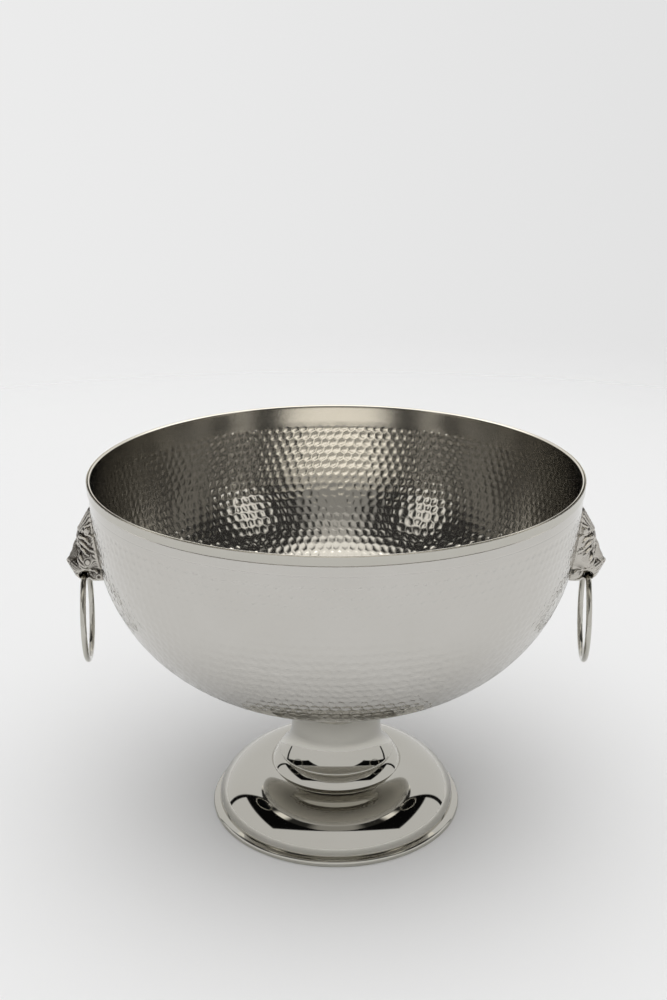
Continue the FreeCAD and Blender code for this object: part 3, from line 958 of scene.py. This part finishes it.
def hammered_silver():
    """Silver with painted shade where it faces down: darker towards the underside, for the shadowed floor
    and foot that it reflects.
    """
    material, nodes, shader = metal(
        "hammered_silver", (0.59, 0.575, 0.545), (0.55, 0.535, 0.50), 0.12, 0.05, 22, 0.01)
    # Painted shade: down-facing surfaces blend towards a dark colour, so the lower facets look as if they
    # reflect the shadow under the bowl.
    facing = nodes.add("ShaderNodeTexCoord").outputs["Normal"]
    upward = nodes.add("ShaderNodeSeparateXYZ", Vector=facing).outputs[2]
    underside_shade = nodes.step(upward, -0.62, -0.95)
    plain = shader.inputs["Base Color"].links[0].from_socket
    nodes.feed(shader.inputs["Base Color"], nodes.mix(underside_shade, plain, (0.33, 0.315, 0.28, 1)))
    return material


def polished_silver():
    return metal("polished_silver", (0.54, 0.525, 0.48), (0.51, 0.495, 0.445), 0.05, 0.02, 30, 0.002)[0]


def antique_silver():
    # Painted shade in the recesses: the colour darkens to near black the deeper a point lies in a hollow of
    # the mask, standing in for the shade there.
    material, nodes, shader = metal(
        "antique_silver", (0.60, 0.575, 0.53), (0.50, 0.475, 0.43), 0.19, 0.10, 60, 0.02)
    recess = nodes.add("ShaderNodeAttribute")
    recess.attribute_name = "recess"
    depth = nodes.step(recess.outputs["Fac"], 0.05, 0.8)
    plain = shader.inputs["Base Color"].links[0].from_socket
    nodes.feed(shader.inputs["Base Color"], nodes.mix(depth, plain, (0.055, 0.048, 0.04, 1)))
    return material


def plain_steel():
    return metal("plain_steel", (0.50, 0.50, 0.50), (0.42, 0.42, 0.42), 0.34, 0.1, 80, 0.02)[0]


# ---------------------------------------------------------------- studio

FLOOR_SHADE = 0.84
FLOOR_RADIUS = 2.5
WALL_SHADE = 0.80
FRONT_WALL_SLOPE = 1.33
SIDE_WALL_SLOPE = 0.60
SIDE_WALL_REACH = 2.05
BACK_WALL_SPREAD = 1.73
LIGHT_LEAN = (0.98, -0.10)
TENT_RADIUS = 0.30


def grey(level):
    return (level, level, level, 1)


def make_floor():
    """A pale floor that fades out into the backdrop of the same shade."""
    points = [(0.0, 0.0, 0.0)]
    faces = []
    segments = 96
    for number in range(segments):
        angle = 2 * math.pi * number / segments
        points.append((FLOOR_RADIUS * math.cos(angle), FLOOR_RADIUS * math.sin(angle), 0.0))
        faces.append((0, number + 1, (number + 1) % segments + 1))
    mesh = bpy.data.meshes.new("floor")
    mesh.from_pydata(points, [], faces)
    floor = bpy.data.objects.new("floor", mesh)
    bpy.context.scene.collection.objects.link(floor)
    material = bpy.data.materials.new("floor")
    nodes = Nodes(material)
    shader = nodes.all["Principled BSDF"]
    shader.inputs["Base Color"].default_value = grey(FLOOR_SHADE)
    shader.inputs["Roughness"].default_value = 0.9
    shader.inputs["Specular IOR Level"].default_value = 0.0
    place = nodes.add("ShaderNodeTexCoord").outputs["Object"]
    length = nodes.all.new("ShaderNodeVectorMath")
    length.operation = "LENGTH"
    nodes.feed(length.inputs[0], place)
    fade = nodes.math("SUBTRACT", 1.0, nodes.step(length.outputs["Value"], 0.6, 2.2))
    nodes.feed(shader.inputs["Alpha"], fade)
    mesh.materials.append(material)


def studio_walls(nodes, side, depth, up):
    """1 where a direction meets the front wall, a side wall, the backdrop or the floor."""
    outward = nodes.math("ABSOLUTE", side)
    toward = nodes.math("MULTIPLY", depth, -1.0)
    soft = 0.02
    front = nodes.math("SUBTRACT", nodes.math("MULTIPLY", toward, FRONT_WALL_SLOPE), up)
    walls = nodes.step(front, -soft, soft)
    beside = nodes.math("SUBTRACT", nodes.math("MULTIPLY", outward, SIDE_WALL_SLOPE), up)
    reach = nodes.math("SUBTRACT", outward, nodes.math("MULTIPLY", depth, SIDE_WALL_REACH))
    side_wall = nodes.math("MULTIPLY", nodes.step(beside, -soft, soft), nodes.step(reach, -soft, soft))
    walls = nodes.math("MAXIMUM", walls, side_wall)
    behind = nodes.math("SUBTRACT", nodes.math("MULTIPLY", depth, BACK_WALL_SPREAD), outward)
    walls = nodes.math("MAXIMUM", walls, nodes.step(behind, -soft, soft))
    return nodes.math("MAXIMUM", walls, nodes.step(up, 0.02, -0.02))


def make_world():
    """Plain soft studio: overhead light for matt surfaces, walls and dark gaps for polished metal to
    reflect, and a backdrop of about the floor's shade for the camera."""
    world = bpy.data.worlds.new("studio")
    bpy.context.scene.world = world
    nodes = Nodes(world)
    background = nodes.all["Background"]
    direction = nodes.add("ShaderNodeTexCoord").outputs["Generated"]
    side, depth, up = nodes.add("ShaderNodeSeparateXYZ", Vector=direction).outputs
    reflected = nodes.mix(studio_walls(nodes, side, depth, up), grey(0.004), grey(WALL_SHADE))
    upright, forward = LIGHT_LEAN
    above = nodes.math("ADD", nodes.math("MULTIPLY", up, upright), nodes.math("MULTIPLY", depth, forward))
    overhead = nodes.mix(nodes.step(above, 0.62, 1.0), grey(0.40), grey(2.28))
    path = nodes.add("ShaderNodeLightPath").outputs
    light = nodes.mix(path["Is Diffuse Ray"], reflected, overhead)
    backdrop = nodes.mix(nodes.step(side, -0.6, 0.6), grey(0.86), grey(0.74))
    nodes.feed(background.inputs["Color"], nodes.mix(path["Is Camera Ray"], light, backdrop))


def tent_light(nodes):
    """How bright the tent is at a place: a wide top and back, two side strips and a dim front."""
    place = nodes.add("ShaderNodeTexCoord").outputs["Object"]
    side, depth, up = nodes.add("ShaderNodeSeparateXYZ", Vector=place).outputs
    toward = nodes.math("MULTIPLY", depth, -1.0)
    turn = nodes.math("ARCTAN2", nodes.math("ABSOLUTE", side), toward)
    rise = nodes.math("ARCSINE", nodes.math("DIVIDE", up, TENT_RADIUS))

    def band(value, start, end, soft):
        """1 between two angles in degrees."""
        start, end, soft = (math.radians(angle) for angle in (start, end, soft))
        first = nodes.step(value, start - soft, start + soft)
        return nodes.math("MULTIPLY", first, nodes.step(value, end + soft, end - soft))

    panels = [
        (band(turn, -20, 27, 10), band(rise, -20, 100, 5), 0.34),
        (band(turn, -20, 24, 10), band(rise, 36, 100, 9), 0.58),
        (band(turn, 58, 75, 6), band(rise, -20, 35, 8), 1.15),
        (band(turn, 111, 200, 5), band(rise, 31, 100, 6), 2.90),
        (band(turn, 122, 200, 5), band(rise, -20, 50, 6), 1.05),
        (band(rise, 62, 120, 8), 1.0, 1.20),
    ]
    light = 0.03
    for across, high, shade in panels:
        panel = nodes.math("MULTIPLY", nodes.math("MULTIPLY", across, high), shade)
        light = nodes.math("MAXIMUM", light, panel)
    return light


def make_tent():
    """A light tent over the bowl's mouth, which only the polished metal sees."""
    rings = 24
    segments = 48
    points = []
    for ring in range(rings):
        rise = math.pi / 2 * ring / rings
        for number in range(segments):
            turn = 2 * math.pi * number / segments
            points.append((TENT_RADIUS * math.cos(rise) * math.cos(turn),
                           TENT_RADIUS * math.cos(rise) * math.sin(turn), TENT_RADIUS * math.sin(rise)))
    points.append((0.0, 0.0, TENT_RADIUS))
    faces = []
    for ring in range(rings):
        for number in range(segments):
            start = ring * segments
            after = (number + 1) % segments
            if ring == rings - 1:
                faces.append((start + number, start + after, len(points) - 1))
            else:
                above = start + segments
                faces.append((start + number, start + after, above + after, above + number))
    mesh = bpy.data.meshes.new("light_tent")
    mesh.from_pydata(points, [], faces)
    tent = bpy.data.objects.new("light_tent", mesh)
    tent.location = (0, 0, RIM_HEIGHT * MM)
    bpy.context.scene.collection.objects.link(tent)
    tent.visible_camera = False
    tent.visible_diffuse = False
    tent.visible_shadow = False
    material = bpy.data.materials.new("light_tent")
    nodes = Nodes(material)
    glow = nodes.add("ShaderNodeEmission", Color=(1.0, 0.97, 0.90, 1), Strength=tent_light(nodes))
    nodes.feed(nodes.all["Material Output"].inputs["Surface"], glow.outputs["Emission"])
    material.cycles.emission_sampling = "NONE"
    mesh.materials.append(material)


def make_camera():
    data = bpy.data.cameras.new("camera")
    data.lens = 46.5
    data.shift_x = -0.0026
    camera = bpy.data.objects.new("camera", data)
    camera.location = (0, -1.001, 0.6206)
    camera.rotation_euler = (math.radians(71.1), 0, 0)
    bpy.context.scene.collection.objects.link(camera)
    bpy.context.scene.camera = camera


# ---------------------------------------------------------------- scene

hammered = hammered_silver()
polished = polished_silver()
recess_shaded = antique_silver()
steel = plain_steel()

make_bowl(hammered)
make_rim_band(polished)
make_stem(polished)
make_skirt_ring(polished)
make_foot_dome(polished)
make_foot_ring(polished)
make_masks(recess_shaded)
for side in ("left", "right"):
    make_ring(side, polished)
for name, node in frame["nodes"].items():
    if not node.hide_render:
        shared = polished if name.startswith("mask_screws") else steel
        for slot in node.material_slots:
            slot.material = shared

make_floor()
make_tent()
make_world()
make_camera()
bpy.context.scene.view_settings.view_transform = "Standard"
